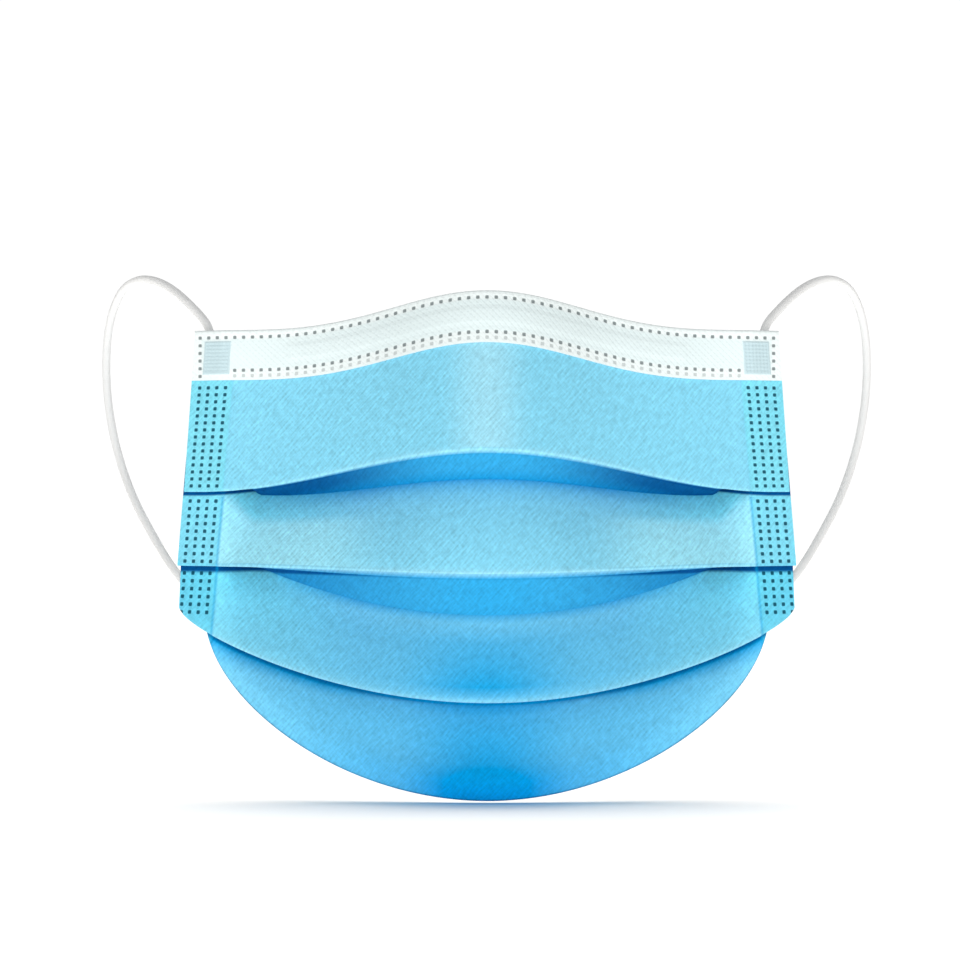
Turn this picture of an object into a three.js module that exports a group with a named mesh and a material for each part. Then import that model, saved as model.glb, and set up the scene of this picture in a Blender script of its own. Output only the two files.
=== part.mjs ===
// A pleated surgical face mask, opened as it is when worn. One sheet is laid in three pleats, which lie
// flat on each other in the side welds and stand open in the middle. A band is folded over the nose
// edge, and an elastic loop goes round each ear.
// Millimetres: X runs across the face, the front looks along -Y and +Z is up. The origin is the nose
// seat, the place on the band's inner side that rests on the bridge of the nose.

import * as THREE from "three";

// Overall sizes
const width = 163;
const sideHeight = 73.1;
const middleHeight = 131.3;
const noseRise = 9.2;
const reachAhead = 40;

// Cloth
const wall = 1.2;
const gap = 0.3;
const pleatDepth = 13;

// Side welds, and how far from them the pleats need to stand open
const weldWidth = 8;
const openingRun = 12;

// Band over the nose edge
const bandFront = 13.1;
const bandBack = 10;
const seatBelowEdge = 6;

// Squares that hold the loops on the band's ends
const patchWidth = 7.2;
const patchHeight = 8.7;
const patchWall = 0.8;
const patchInset = 2.9;
const patchDrop = 2.9;

// Ear loops
const loopDiameter = 2.2;

// The front view. Each edge or outer fold has its half width as a share of half the width, its drop
// below the top corner at the side as a share of sideHeight, and its drop below the nose edge in the
// middle as a share of middleHeight. Between the two it follows a bell with a spread and a power.
const frontView = [
  { line: "nose edge", half: 0.942, side: 0.0, middle: 0.0, spread: 0.87, power: 3.3 },
  { line: "upper fold", half: 0.977, side: 0.58, middle: 0.309, spread: 0.95, power: 2.0 },
  { line: "middle fold", half: 1.0, side: 0.846, middle: 0.547, spread: 0.8, power: 2.4 },
  { line: "lower fold", half: 0.996, side: 1.0, middle: 0.799, spread: 1.0, power: 0.68 },
  { line: "chin edge", half: 0.975, side: 0.969, middle: 1.0, spread: 0.94, power: 0.47 },
];

// The top view of the same lines. Arch, ridge and belly are shares of reachAhead: the broad curve round
// the face, the narrow ridge over the nose, and the swell of the cloth that hangs down to the line.
// Stack is how far the line lies ahead of the upper fold in the side weld, in fold radii. In the weld
// all the lines have one arch, and from there each goes over to its own.
const topView = [
  { line: "nose edge", arch: 0.55, ridge: 0.2, belly: 0.0, stack: 1 },
  { line: "upper fold", arch: 0.9, ridge: 0.15, belly: 0.02, stack: 0 },
  { line: "middle fold", arch: 1.0, ridge: 0.08, belly: 0.04, stack: -4 },
  { line: "lower fold", arch: 0.92, ridge: 0.03, belly: 0.04, stack: -8 },
  { line: "chin edge", arch: 0.42, ridge: 0.0, belly: 0.12, stack: -11 },
];

// The pleat behind each outer fold: its depth as a share of pleatDepth, the half width of its inner
// fold as a share of half the width, and how far it swings back, in degrees, next to the weld and in
// the middle.
const pleats = [
  { fold: "upper fold", depth: 0.92, half: 0.968, atWeld: 80, inMiddle: 127 },
  { fold: "middle fold", depth: 1.0, half: 0.983, atWeld: 57, inMiddle: 144 },
  { fold: "lower fold", depth: 0.77, half: 0.986, atWeld: 45, inMiddle: 75 },
];

// The right ear loop's middle line, from its hidden upper end behind the band, round the ear, to its
// hidden lower end behind the side weld: across, behind the side edge, and above the top corner.
const loopRoute = [
  [71.2, -0.2, -10.5],
  [72.2, 0.6, -4.5],
  [73.1, 2.9, 1],
  [75.4, 6.2, 3.9],
  [79, 11, 7.5],
  [82.7, 17, 10.8],
  [86.4, 23, 13.3],
  [90.1, 28.5, 14.9],
  [93.8, 33, 15.5],
  [97.5, 37.5, 14.5],
  [100.2, 40.5, 12.3],
  [102.8, 43.3, 7.2],
  [104.3, 44.8, 0.4],
  [104.7, 45, -7.9],
  [104.2, 43.8, -16.1],
  [103.1, 42, -22.8],
  [101.4, 39.5, -30.2],
  [98.9, 35.8, -37.3],
  [95.7, 30, -44.4],
  [92, 24, -50.5],
  [88, 18.2, -56.6],
  [84.6, 13.4, -61.2],
  [82.3, 11.2, -64],
  [79.8, 10.7, -66.6],
  [76.6, 8.9, -69],
];

// The arch in the welds as a share of reachAhead, how round the arch's top is, and how far the ridge
// spreads, both as shares of half the width
const weldArch = 0.9;
const roundTop = 0.4;
const ridgeSpread = 0.45;

// How fine the faceted surfaces are
const columns = 32;
const arcSteps = 3;
const tierSteps = 5;
const flapSteps = 2;
const loopSteps = 44;

const foldRadius = (wall + gap) / 2;
const bandReach = wall + gap;
const roundEdge = bandReach + wall / 2;

function bell(u, spread, power) {
  return Math.cos((Math.PI / 2) * Math.min(Math.abs(u) / spread, 1)) ** power;
}

// 1 in the middle and 0 at the side, with straight flanks and a round top
function tent(u) {
  const rise = (at) => Math.sqrt(at * at + roundTop * roundTop) - roundTop;
  return 1 - rise(u) / rise(1);
}

// 0 in the side weld, rising to 1 in the middle of the mask
function freedom(u) {
  return bell(u, 1 - weldWidth / (width / 2), 1);
}

// 0 in the side weld and 1 from where the pleats stand open
function openness(u) {
  const fromSide = (1 - Math.abs(u)) * (width / 2);
  const share = THREE.MathUtils.clamp((fromSide - weldWidth) / openingRun, 0, 1);
  return THREE.MathUtils.smoothstep(share, 0, 1);
}

// A place on an edge or outer fold. In a section, x of a Vector2 is ahead and y is up.
function onLine(i, u) {
  const front = frontView[i];
  const top = topView[i];
  const sideUp = -front.side * sideHeight;
  const middleUp = noseRise - front.middle * middleHeight;
  const up = sideUp + (middleUp - sideUp) * bell(u, front.spread, front.power);
  const free = freedom(u);
  const curve = weldArch * tent(u) + (top.arch - weldArch) * free + top.ridge * bell(u, ridgeSpread, 2);
  const ahead = reachAhead * curve + top.stack * foldRadius * (1 - free);
  return new THREE.Vector2(ahead, up);
}

// The centres of a pleat's outer and inner folds. The inner one is straight above and behind the outer
// one in the weld, and swings back where the pleat opens. The outer one is raised, so that the lowest
// place that shows lies on the fold's line.
function foldCentres(i, pleat, u) {
  const swing = THREE.MathUtils.lerp(pleat.atWeld, pleat.inMiddle, bell(u, 1, 1));
  const angle = THREE.MathUtils.degToRad(swing * openness(u));
  const raise = (foldRadius + wall / 2) * Math.min(1, 1 + Math.cos(angle));
  const outer = onLine(i, u).add(new THREE.Vector2(0, raise));
  const inner = new THREE.Vector2(-2 * foldRadius, pleat.depth * pleatDepth);
  inner.rotateAround(new THREE.Vector2(), angle).add(outer);
  return { outer, inner };
}

// The belly and the steps of the cloth that hangs down to a line
function hanging(i, u) {
  return { belly: topView[i].belly * reachAhead * freedom(u), steps: tierSteps };
}

// The stops of the sheet's section, from nose to chin. The sheet passes round each fold at its radius,
// which is negative where its outer face looks at the fold's centre.
function stopsAt(u) {
  const halfWidth = width / 2;
  const first = onLine(0, u);
  const heading = onLine(1, u).sub(first).normalize();
  const stops = [{ at: first.addScaledVector(heading, roundEdge), half: frontView[0].half, radius: 0 }];
  pleats.forEach((pleat, k) => {
    const { outer, inner } = foldCentres(k + 1, pleat, u);
    Object.assign(stops.at(-1), hanging(k + 1, u));
    stops.push({ at: outer, half: frontView[k + 1].half, radius: foldRadius });
    Object.assign(stops.at(-1), { belly: 0, steps: flapSteps });
    stops.push({ at: inner, half: pleat.half, radius: -foldRadius });
  });
  const chin = frontView.length - 1;
  Object.assign(stops.at(-1), hanging(chin, u));
  stops.push({ at: onLine(chin, u), half: frontView[chin].half, radius: 0 });
  return stops.map((stop) => ({ ...stop, x: u * stop.half * halfWidth }));
}

// The straight run between two stops that touches both of their circles
function runBetween(from, to) {
  const across = to.at.clone().sub(from.at);
  const lean = Math.asin((from.radius - to.radius) / across.length());
  const heading = across.angle() - lean;
  const facing = facingOf(heading);
  const start = from.at.clone().addScaledVector(facing, from.radius);
  const end = to.at.clone().addScaledVector(facing, to.radius);
  return { heading, facing, start, end, from, to };
}

function facingOf(heading) {
  return new THREE.Vector2(-Math.sin(heading), Math.cos(heading));
}

// A station holds the middle of the wall and the way its outer face looks. share runs from 0 to 1
// along the run, and the belly swells outwards in the middle of it.
function stationOn(run, share) {
  const length = run.start.distanceTo(run.end);
  const slope = (4 * run.from.belly * (1 - 2 * share)) / length;
  const place = run.start.clone().lerp(run.end, share);
  place.addScaledVector(run.facing, 4 * run.from.belly * share * (1 - share));
  return {
    x: THREE.MathUtils.lerp(run.from.x, run.to.x, share),
    place,
    facing: facingOf(run.heading + Math.atan(slope)),
  };
}

// The stations round a fold, from the heading of the run before it to that of the run after it
function stationsRound(stop, before, after) {
  const full = 2 * Math.PI;
  const turn = THREE.MathUtils.euclideanModulo(after - before, full);
  const signed = stop.radius > 0 ? turn - full : turn;
  const stations = [];
  for (let k = 0; k <= arcSteps; k += 1) {
    const facing = facingOf(before + (signed * k) / arcSteps);
    const place = stop.at.clone().addScaledVector(facing, stop.radius);
    stations.push({ x: stop.x, place, facing });
  }
  return stations;
}

function panelSection(u) {
  const stops = stopsAt(u);
  const runs = stops.slice(1).map((stop, i) => runBetween(stops[i], stop));
  const stations = [stationOn(runs[0], 0)];
  runs.forEach((run, i) => {
    for (let k = 1; k < run.from.steps; k += 1) {
      stations.push(stationOn(run, k / run.from.steps));
    }
    if (i + 1 < runs.length) {
      stations.push(...stationsRound(run.to, run.heading, runs[i + 1].heading));
    }
  });
  stations.push(stationOn(runs.at(-1), 1));
  return stations;
}

// A station that lies off the sheet's uppermost run, at a distance down it, on its front or its back
function offSheet(u, down, distance, sign) {
  const stops = stopsAt(u);
  const run = runBetween(stops[0], stops[1]);
  const station = stationOn(run, down / run.start.distanceTo(run.end));
  station.place.addScaledVector(station.facing, sign * distance);
  station.facing.multiplyScalar(sign);
  return station;
}

// How far down the sheet a place lies that is seen from the front at a depth below the nose edge. The
// sheet leans forward there, and the band's front is lifted by its distance from the sheet.
function downTo(u, depth) {
  const { facing } = offSheet(u, 0, 0, 1);
  const lift = roundEdge * facing.y;
  return (depth + lift) / facing.x - roundEdge;
}

// The band goes up the sheet's back, round its edge and down its front
function bandSection(u) {
  const leafSteps = 3;
  const roundSteps = 5;
  const backLength = bandBack - roundEdge;
  const frontLength = downTo(u, bandFront);
  const stations = [];
  for (let k = leafSteps; k > 0; k -= 1) {
    stations.push(offSheet(u, (backLength * k) / leafSteps, bandReach, -1));
  }
  const edge = offSheet(u, 0, 0, 1);
  for (let k = 0; k <= roundSteps; k += 1) {
    const turn = Math.PI * (1 - k / roundSteps);
    const facing = edge.facing.clone().rotateAround(new THREE.Vector2(), turn);
    const place = edge.place.clone().addScaledVector(facing, bandReach);
    stations.push({ x: edge.x, place, facing });
  }
  for (let k = 1; k <= leafSteps; k += 1) {
    stations.push(offSheet(u, (frontLength * k) / leafSteps, bandReach, 1));
  }
  return stations;
}

// A square on the front of the band
function patchSection(u) {
  const steps = 2;
  const distance = roundEdge + gap + patchWall / 2;
  const start = downTo(u, patchDrop);
  const stations = [];
  for (let k = 0; k <= steps; k += 1) {
    stations.push(offSheet(u, start + (patchHeight * k) / steps, distance, 1));
  }
  return stations;
}

// A closed sheet from its sections, which run from left to right. The outer face comes first, then
// the inner face, then the rim.
function slab(sections, thickness) {
  const across = sections.length;
  const down = sections[0].length;
  const positions = [];
  for (const side of [0.5, -0.5]) {
    for (const section of sections) {
      for (const { x, place, facing } of section) {
        const point = place.clone().addScaledVector(facing, side * thickness);
        positions.push(x, -point.x, point.y);
      }
    }
  }
  const outer = (i, j) => i * down + j;
  const inner = (i, j) => (across + i) * down + j;
  const triangles = [];
  for (let i = 0; i + 1 < across; i += 1) {
    for (let j = 0; j + 1 < down; j += 1) {
      const corners = [[i, j], [i, j + 1], [i + 1, j + 1], [i + 1, j]];
      const first = i < (across - 1) / 2 ? 0 : 1;
      const [a, b, c, d] = [0, 1, 2, 3].map((k) => corners[(k + first) % 4]);
      triangles.push(outer(...a), outer(...b), outer(...c), outer(...a), outer(...c), outer(...d));
      triangles.push(inner(...c), inner(...b), inner(...a), inner(...d), inner(...c), inner(...a));
    }
  }
  const rim = [];
  for (let j = 0; j < down - 1; j += 1) rim.push([0, j]);
  for (let i = 0; i < across - 1; i += 1) rim.push([i, down - 1]);
  for (let j = down - 1; j > 0; j -= 1) rim.push([across - 1, j]);
  for (let i = across - 1; i > 0; i -= 1) rim.push([i, 0]);
  rim.forEach((p, k) => {
    const q = rim[(k + 1) % rim.length];
    triangles.push(outer(...q), outer(...p), inner(...p), outer(...q), inner(...p), inner(...q));
  });
  const geometry = new THREE.BufferGeometry();
  geometry.setAttribute("position", new THREE.Float32BufferAttribute(positions, 3));
  geometry.setIndex(triangles);
  geometry.computeVertexNormals();
  return geometry;
}

// Section places from one share of the half width to another, closer together near the side welds
function sharesAcross(from, to, count) {
  const crowding = 0.35;
  const shares = [];
  for (let k = 0; k <= count; k += 1) {
    const even = THREE.MathUtils.lerp(from, to, k / count);
    shares.push(even * (1 + crowding * (1 - even * even)));
  }
  return shares;
}

const paint = {
  blue: new THREE.MeshStandardMaterial({ color: "#8fd8f2", roughness: 0.85, metalness: 0 }),
  white: new THREE.MeshStandardMaterial({ color: "#eef8f8", roughness: 0.8, metalness: 0 }),
  grey: new THREE.MeshStandardMaterial({ color: "#cfe3e6", roughness: 0.7, metalness: 0 }),
  elastic: new THREE.MeshStandardMaterial({ color: "#ececec", roughness: 0.9, metalness: 0 }),
};

function named(name, geometry, material) {
  const mesh = new THREE.Mesh(geometry, material);
  mesh.name = name;
  return mesh;
}

function pleatedPanel() {
  const sections = sharesAcross(-1, 1, columns).map(panelSection);
  return named("pleated_panel", slab(sections, wall), paint.blue);
}

function noseBand() {
  const sections = sharesAcross(-1, 1, columns).map(bandSection);
  return named("nose_band", slab(sections, wall), paint.white);
}

function loopPatch(name, side) {
  const halfEdge = (frontView[0].half * width) / 2;
  const outerShare = 1 - patchInset / halfEdge;
  const innerShare = 1 - (patchInset + patchWidth) / halfEdge;
  const shares = [innerShare, (innerShare + outerShare) / 2, outerShare].map((u) => side * u);
  const sections = shares.sort((a, b) => a - b).map(patchSection);
  return named(name, slab(sections, patchWall), paint.grey);
}

function earLoop(name, side) {
  const route = loopRoute.map(([x, behind, up]) => new THREE.Vector3(side * x, behind, up));
  const section = new THREE.Shape().absarc(0, 0, loopDiameter / 2, 0, 2 * Math.PI);
  const geometry = new THREE.ExtrudeGeometry(section, {
    extrudePath: new THREE.CatmullRomCurve3(route),
    steps: loopSteps,
    curveSegments: 4,
  });
  return named(name, geometry, paint.elastic);
}

// The seat is on the inner face of the band's back leaf, in the middle
const seat = offSheet(0, seatBelowEdge - roundEdge, roundEdge, -1);

const mask = new THREE.Group();
mask.position.set(0, seat.place.x, -seat.place.y);
mask.add(pleatedPanel(), noseBand());
mask.add(loopPatch("loop_patch_left", -1), loopPatch("loop_patch_right", 1));
mask.add(earLoop("ear_loop_left", -1), earLoop("ear_loop_right", 1));

export default mask;
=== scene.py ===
# %% [markdown]
# # A pleated face mask, opened as it is worn
# The mask is one sheet of nonwoven cloth laid in three pleats. The pleats are pressed flat in a weld down
# each side and stand open in the middle, so the flat sheet turns into a bowl that goes over nose, mouth and
# chin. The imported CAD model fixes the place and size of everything. This script puts thin, finished cloth
# where the CAD model has its thicker walls.

import bpy
import numpy as np
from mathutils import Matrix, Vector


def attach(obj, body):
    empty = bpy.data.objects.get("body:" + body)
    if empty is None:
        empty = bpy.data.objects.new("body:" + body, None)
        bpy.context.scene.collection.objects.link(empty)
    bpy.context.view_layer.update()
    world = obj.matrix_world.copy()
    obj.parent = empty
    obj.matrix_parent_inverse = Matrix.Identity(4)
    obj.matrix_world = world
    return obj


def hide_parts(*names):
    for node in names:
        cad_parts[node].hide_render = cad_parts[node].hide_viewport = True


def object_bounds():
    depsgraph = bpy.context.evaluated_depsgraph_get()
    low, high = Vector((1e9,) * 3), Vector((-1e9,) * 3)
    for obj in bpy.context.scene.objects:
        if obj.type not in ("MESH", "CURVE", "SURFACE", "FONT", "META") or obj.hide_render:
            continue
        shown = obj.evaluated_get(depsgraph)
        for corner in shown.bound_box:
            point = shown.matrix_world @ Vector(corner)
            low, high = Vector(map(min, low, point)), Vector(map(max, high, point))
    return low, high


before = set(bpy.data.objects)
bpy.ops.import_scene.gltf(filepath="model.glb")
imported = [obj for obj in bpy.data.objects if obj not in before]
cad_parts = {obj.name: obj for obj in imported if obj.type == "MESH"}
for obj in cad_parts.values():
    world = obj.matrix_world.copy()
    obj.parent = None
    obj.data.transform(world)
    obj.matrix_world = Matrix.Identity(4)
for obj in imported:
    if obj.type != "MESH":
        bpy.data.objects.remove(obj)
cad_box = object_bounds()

MM = 0.001
print("CAD box in mm:", [[round(v / MM, 1) for v in corner] for corner in cad_box])

# %% [markdown]
# ## Camera
# The photograph is taken from straight ahead with a long lens, a little above the chin's height. A long
# lens keeps the two halves of the mask nearly without perspective. The camera stands a metre in front of
# the side edges, and 3.8 pixels of the picture are one millimetre there.

# %% Camera
PICTURE = 960
SENSOR = 36
PIXELS_PER_MM = 3.8
CAMERA_DISTANCE = 1000
SIDE_PLANE = 30.01
CAMERA_X = -1.8
CAMERA_Z = -42.0

camera_data = bpy.data.cameras.new("camera")
camera_data.sensor_width = SENSOR
camera_data.lens = PIXELS_PER_MM * CAMERA_DISTANCE * SENSOR / PICTURE
camera = bpy.data.objects.new("camera", camera_data)
camera.location = (CAMERA_X * MM, (SIDE_PLANE - CAMERA_DISTANCE) * MM, CAMERA_Z * MM)
camera.rotation_euler = (np.pi / 2, 0, 0)
bpy.context.scene.collection.objects.link(camera)
bpy.context.scene.camera = camera
print("lens in mm:", camera_data.lens)

# %% [markdown]
# ## Making a mesh from arrays
# Every new piece is a grid of points that numpy works out at once. A closed sheet has a fine outer face, a
# coarser inner face, and a rim that joins them, because the eye looks at the outer face, and an inner face
# as fine would double the weight for nothing.

# %% Meshes from grids
SHARP_ANGLE = 62
INNER_STEP = 2
EVERY = (slice(None, None, INNER_STEP),) * 2
ISLAND_WIDTH = 0.49


def make_piece(name, points, faces, slots, maps):
    """A mesh object from points in mm. Each map gives two numbers a point, and slots a finish a face."""
    mesh = bpy.data.meshes.new(name)
    mesh.from_pydata((points * MM).tolist(), [], faces)
    corners = np.empty(len(mesh.loops), dtype=np.int32)
    mesh.loops.foreach_get("vertex_index", corners)
    for title, pairs in maps.items():
        layer = mesh.uv_layers.new(name=title)
        layer.uv.foreach_set("vector", pairs[corners].astype(np.float32).ravel())
    mesh.polygons.foreach_set("material_index", slots.astype(np.int32))
    mesh.polygons.foreach_set("use_smooth", np.ones(len(faces), dtype=bool))
    mesh.set_sharp_from_angle(angle=np.radians(SHARP_ANGLE))
    piece = bpy.data.objects.new(name, mesh)
    bpy.context.scene.collection.objects.link(piece)
    print(name, "has", len(points), "points and", len(faces), "faces")
    return piece


def add_mark(piece, title, values):
    """One number a point, kept in the mesh for the finishes to read."""
    layer = piece.data.attributes.new(title, "FLOAT", "POINT")
    layer.data.foreach_set("value", values.astype(np.float32).ravel())


def grid_quads(rows, columns, first=0, turned=False):
    """The faces of a grid whose rows run down and whose columns run to the right, seen from outside."""
    at = first + np.arange(rows * columns).reshape(rows, columns)
    quads = [at[:-1, :-1], at[1:, :-1], at[1:, 1:], at[:-1, 1:]]
    if turned:
        quads = quads[::-1]
    return np.stack([q.ravel() for q in quads], axis=1)


def closed_sheet(outer, inner):
    """Joins a fine outer grid to an inner grid, of which only every second row and column is kept. Along
    each side, one rim face takes two edges of the outer grid and one edge of the inner grid."""
    inner = inner[EVERY]
    rows, columns = outer.shape[:2]
    inner_rows, inner_columns = inner.shape[:2]
    out = np.arange(rows * columns).reshape(rows, columns)
    back = out.size + np.arange(inner_rows * inner_columns).reshape(inner_rows, inner_columns)
    rims = []
    for line, mate in (
        (out[::-1, 0], back[::-1, 0]),
        (out[0, :], back[0, :]),
        (out[:, -1], back[:, -1]),
        (out[-1, ::-1], back[-1, ::-1]),
    ):
        starts = np.arange(len(mate) - 1) * INNER_STEP
        along = line[starts[:, None] + np.arange(INNER_STEP, -1, -1)]
        rims.append(np.column_stack([along, mate[:-1], mate[1:]]))
    faces = grid_quads(rows, columns).tolist()
    outer_count = len(faces)
    faces += grid_quads(inner_rows, inner_columns, out.size, turned=True).tolist()
    inner_count = len(faces) - outer_count
    faces += np.concatenate(rims).tolist()
    slots = np.zeros(len(faces), dtype=int)
    slots[outer_count:outer_count + inner_count] = 1
    points = np.concatenate([outer.reshape(-1, 3), inner.reshape(-1, 3)])
    return points, faces, slots


def both_faces(outer, inner=None):
    """A map's or mark's numbers for the outer grid's points, then for the inner grid's."""
    inner = outer if inner is None else inner
    last = outer.shape[2:]
    return np.concatenate([outer.reshape(-1, *last), inner[EVERY].reshape(-1, *last)])


def two_islands(values):
    """One map for both faces: the outer face in the left half of the unit square, the inner one right."""
    left = values * (ISLAND_WIDTH, 1)
    return both_faces(left, left + (1 - ISLAND_WIDTH, 0))


# %% [markdown]
# ## Ear loops
# Each ear loop is a soft round elastic cord. It comes out from behind the band's end, goes back round the
# ear and ends behind the foot of the side weld. A cord is a profile carried along a line, so the line comes
# first: a spline along the CAD model's own route. At both ends the cord is squeezed flat,
# where the weld holds it.

# %% The cord's line
LOOP_DIAMETER = 2.2
SPAN_STEPS = 20
LOOP_ROUTE = np.array([
    (71.2, -1.3, -10.5), (72.2, -0.2, -4.5), (73.1, 2.7, 1), (75.4, 6.2, 3.9), (79, 11, 7.5),
    (82.7, 17, 10.8), (86.4, 23, 13.3), (90.1, 28.5, 14.9), (93.8, 33, 15.5), (97.5, 37.5, 14.5),
    (100.2, 40.5, 12.3), (102.8, 43.3, 7.2), (104.3, 44.8, 0.4), (104.7, 45, -7.9), (104.2, 43.8, -16.1),
    (103.1, 42, -22.8), (101.4, 39.5, -30.2), (98.9, 35.8, -37.3), (95.7, 30, -44.4), (92, 24, -50.5),
    (88, 17.8, -56.6), (84.6, 12, -61.2), (82.3, 8.6, -64), (79.8, 6.4, -66.6), (76.6, 4.9, -69),
])
SHIFT_Y = 30.0098
SHIFT_Z = -2.7907


def smooth(share):
    """A soft step from 0 to 1."""
    share = np.clip(share, 0, 1)
    return share * share * (3 - 2 * share)


def smooth_line(points, per_span):
    """A cubic B-spline. Each place is a blend of the four nearest points, with weights that are cubes of
    the share of the span, so that the line bends evenly. The two ends are kept by mirrored points."""
    points = np.vstack([2 * points[0] - points[1], points, 2 * points[-1] - points[-2]])
    spans = len(points) - 3
    span = np.append(np.repeat(np.arange(spans), per_span), spans - 1)
    t = np.append(np.tile(np.arange(per_span) / per_span, spans), 1.0)
    weights = np.stack([(1 - t) ** 3, 3 * t**3 - 6 * t**2 + 4, 3 * (t + t**2 - t**3) + 1, t**3]) / 6
    return sum(weights[k][:, None] * points[span + k] for k in range(4))


right_line = smooth_line(LOOP_ROUTE + (0, SHIFT_Y, SHIFT_Z), SPAN_STEPS)
loop_length = np.linalg.norm(np.diff(right_line, axis=0), axis=1).sum()
print("an ear loop's length in mm:", round(float(loop_length), 1))

# %% [markdown]
# The cord's skin is knitted from fine yarn. Its ribs run along it in low ridges, and they pull in a little
# at each stitch, which gives the cord its soft, uneven gloss.

# %% Ear loops
CORD_SIDES, CORD_RIBS = 40, 20
RIB_SHARE, STITCH_SHARE = 0.01, 0.006
STITCH_PITCH = 1.1
FLAT_RUN = 7
FLAT_WIDTH, FLAT_DEPTH = 1.25, 0.3
PATH_STEP = 5


def tube(line):
    """A ring of points round each place of the line: one axis lies across, the other towards the back."""
    ahead = np.gradient(line, axis=0)
    ahead /= np.linalg.norm(ahead, axis=1)[:, None]
    across = np.cross(ahead, (0.0, 1.0, 0.0))
    across /= np.linalg.norm(across, axis=1)[:, None]
    back = np.cross(across, ahead)
    run = np.concatenate([[0], np.cumsum(np.linalg.norm(np.diff(line, axis=0), axis=1))])
    nearest_end = np.minimum(run, run[-1] - run)
    free = smooth(nearest_end / FLAT_RUN)
    wide = FLAT_WIDTH + (1 - FLAT_WIDTH) * free
    deep = FLAT_DEPTH + (1 - FLAT_DEPTH) * free
    turn = np.linspace(0, 2 * np.pi, CORD_SIDES, endpoint=False)
    stitch = np.sin(2 * np.pi * run / STITCH_PITCH)[:, None] * np.sin(CORD_RIBS / 2 * turn)
    radius = LOOP_DIAMETER / 2 * (1 + RIB_SHARE * np.cos(CORD_RIBS * turn) + STITCH_SHARE * stitch)
    ring = (radius * np.cos(turn))[..., None] * (across * wide[:, None])[:, None]
    ring += (radius * np.sin(turn))[..., None] * (back * deep[:, None])[:, None]
    return line[:, None] + ring, turn / (2 * np.pi), run / run[-1]


def ear_loop(name, line):
    """A closed tube round the line, with a map of its turn and its run."""
    rings, turns, runs = tube(line)
    count = len(line)
    at = np.arange(count * CORD_SIDES).reshape(count, CORD_SIDES)
    beside = np.roll(at, -1, axis=1)
    quads = np.stack([q.ravel() for q in (at[:-1], at[1:], beside[1:], beside[:-1])], axis=1)
    faces = quads.tolist() + [at[0].tolist(), at[-1, ::-1].tolist()]
    pairs = np.stack(np.broadcast_arrays(turns[None, :], runs[:, None]), axis=-1).reshape(-1, 2)
    slots = np.zeros(len(faces), dtype=int)
    piece = make_piece(name + "_cord", rings.reshape(-1, 3), faces, slots, {"cloth": pairs})
    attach(piece, "root")
    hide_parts(name)
    path = (line[::PATH_STEP] * MM).tolist()
    return piece


left_line = right_line * (-1, 1, 1)
ear_loops = [ear_loop("ear_loop_right", right_line), ear_loop("ear_loop_left", left_line)]

# %% [markdown]
# ## The mask's lines
# Seen from the front, five lines make the mask: the nose edge, three folds and the chin edge. Each goes
# from its height at the side to its height in the middle along a bell curve. Seen from above, each is a
# broad arch round the face with a narrow ridge over the nose. These are the CAD model's own tables. The
# cloth is thinner here than the CAD model's walls, so the folds are sharper and the welds flatter.

# %% Sizes and lines
WIDTH = 163
SIDE_HEIGHT = 73.1
MIDDLE_HEIGHT = 131.3
NOSE_RISE = 9.2
REACH_AHEAD = 40
PLEAT_DEPTH = 13
WELD_WIDTH = 8
OPENING_RUN = 12

SHEET = 0.5
FOLD_RADIUS = 0.32
BAND_WALL = 0.35
BAND_REACH = 0.55
ROUND_EDGE = BAND_REACH + BAND_WALL / 2

FRONT_VIEW = [
    dict(line="nose edge", half=0.942, side=0.0, middle=0.0, spread=0.87, power=3.3),
    dict(line="upper fold", half=0.977, side=0.58, middle=0.309, spread=0.95, power=2.0),
    dict(line="middle fold", half=1.0, side=0.846, middle=0.547, spread=0.8, power=2.4),
    dict(line="lower fold", half=0.996, side=1.0, middle=0.799, spread=1.0, power=0.68),
    dict(line="chin edge", half=0.975, side=0.969, middle=1.0, spread=0.94, power=0.47),
]
TOP_VIEW = [
    dict(line="nose edge", arch=0.55, ridge=0.2, belly=0.0, stack=1),
    dict(line="upper fold", arch=0.9, ridge=0.15, belly=0.02, stack=0),
    dict(line="middle fold", arch=1.0, ridge=0.08, belly=0.04, stack=-4),
    dict(line="lower fold", arch=0.92, ridge=0.03, belly=0.04, stack=-8),
    dict(line="chin edge", arch=0.42, ridge=0.0, belly=0.12, stack=-11),
]
PLEATS = [
    dict(fold="upper fold", depth=0.92, half=0.968, at_weld=80, in_middle=127),
    dict(fold="middle fold", depth=1.0, half=0.983, at_weld=57, in_middle=144),
    dict(fold="lower fold", depth=0.77, half=0.986, at_weld=45, in_middle=75),
]
WELD_ARCH = 0.9
ROUND_TOP = 0.4
RIDGE_SPREAD = 0.45


def bell(u, spread, power):
    """1 in the middle and 0 from spread on: a quarter of a cosine wave, raised to a power."""
    return np.cos(np.pi / 2 * np.minimum(abs(u) / spread, 1)).clip(0) ** power


def tent(u):
    """1 in the middle and 0 at the side, with straight flanks and a round top."""
    rise = lambda at: np.sqrt(at * at + ROUND_TOP**2) - ROUND_TOP
    return 1 - rise(u) / rise(1)


def freedom(u):
    """0 in the side weld, rising to 1 in the middle of the mask."""
    return bell(u, 1 - WELD_WIDTH / (WIDTH / 2), 1)


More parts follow.
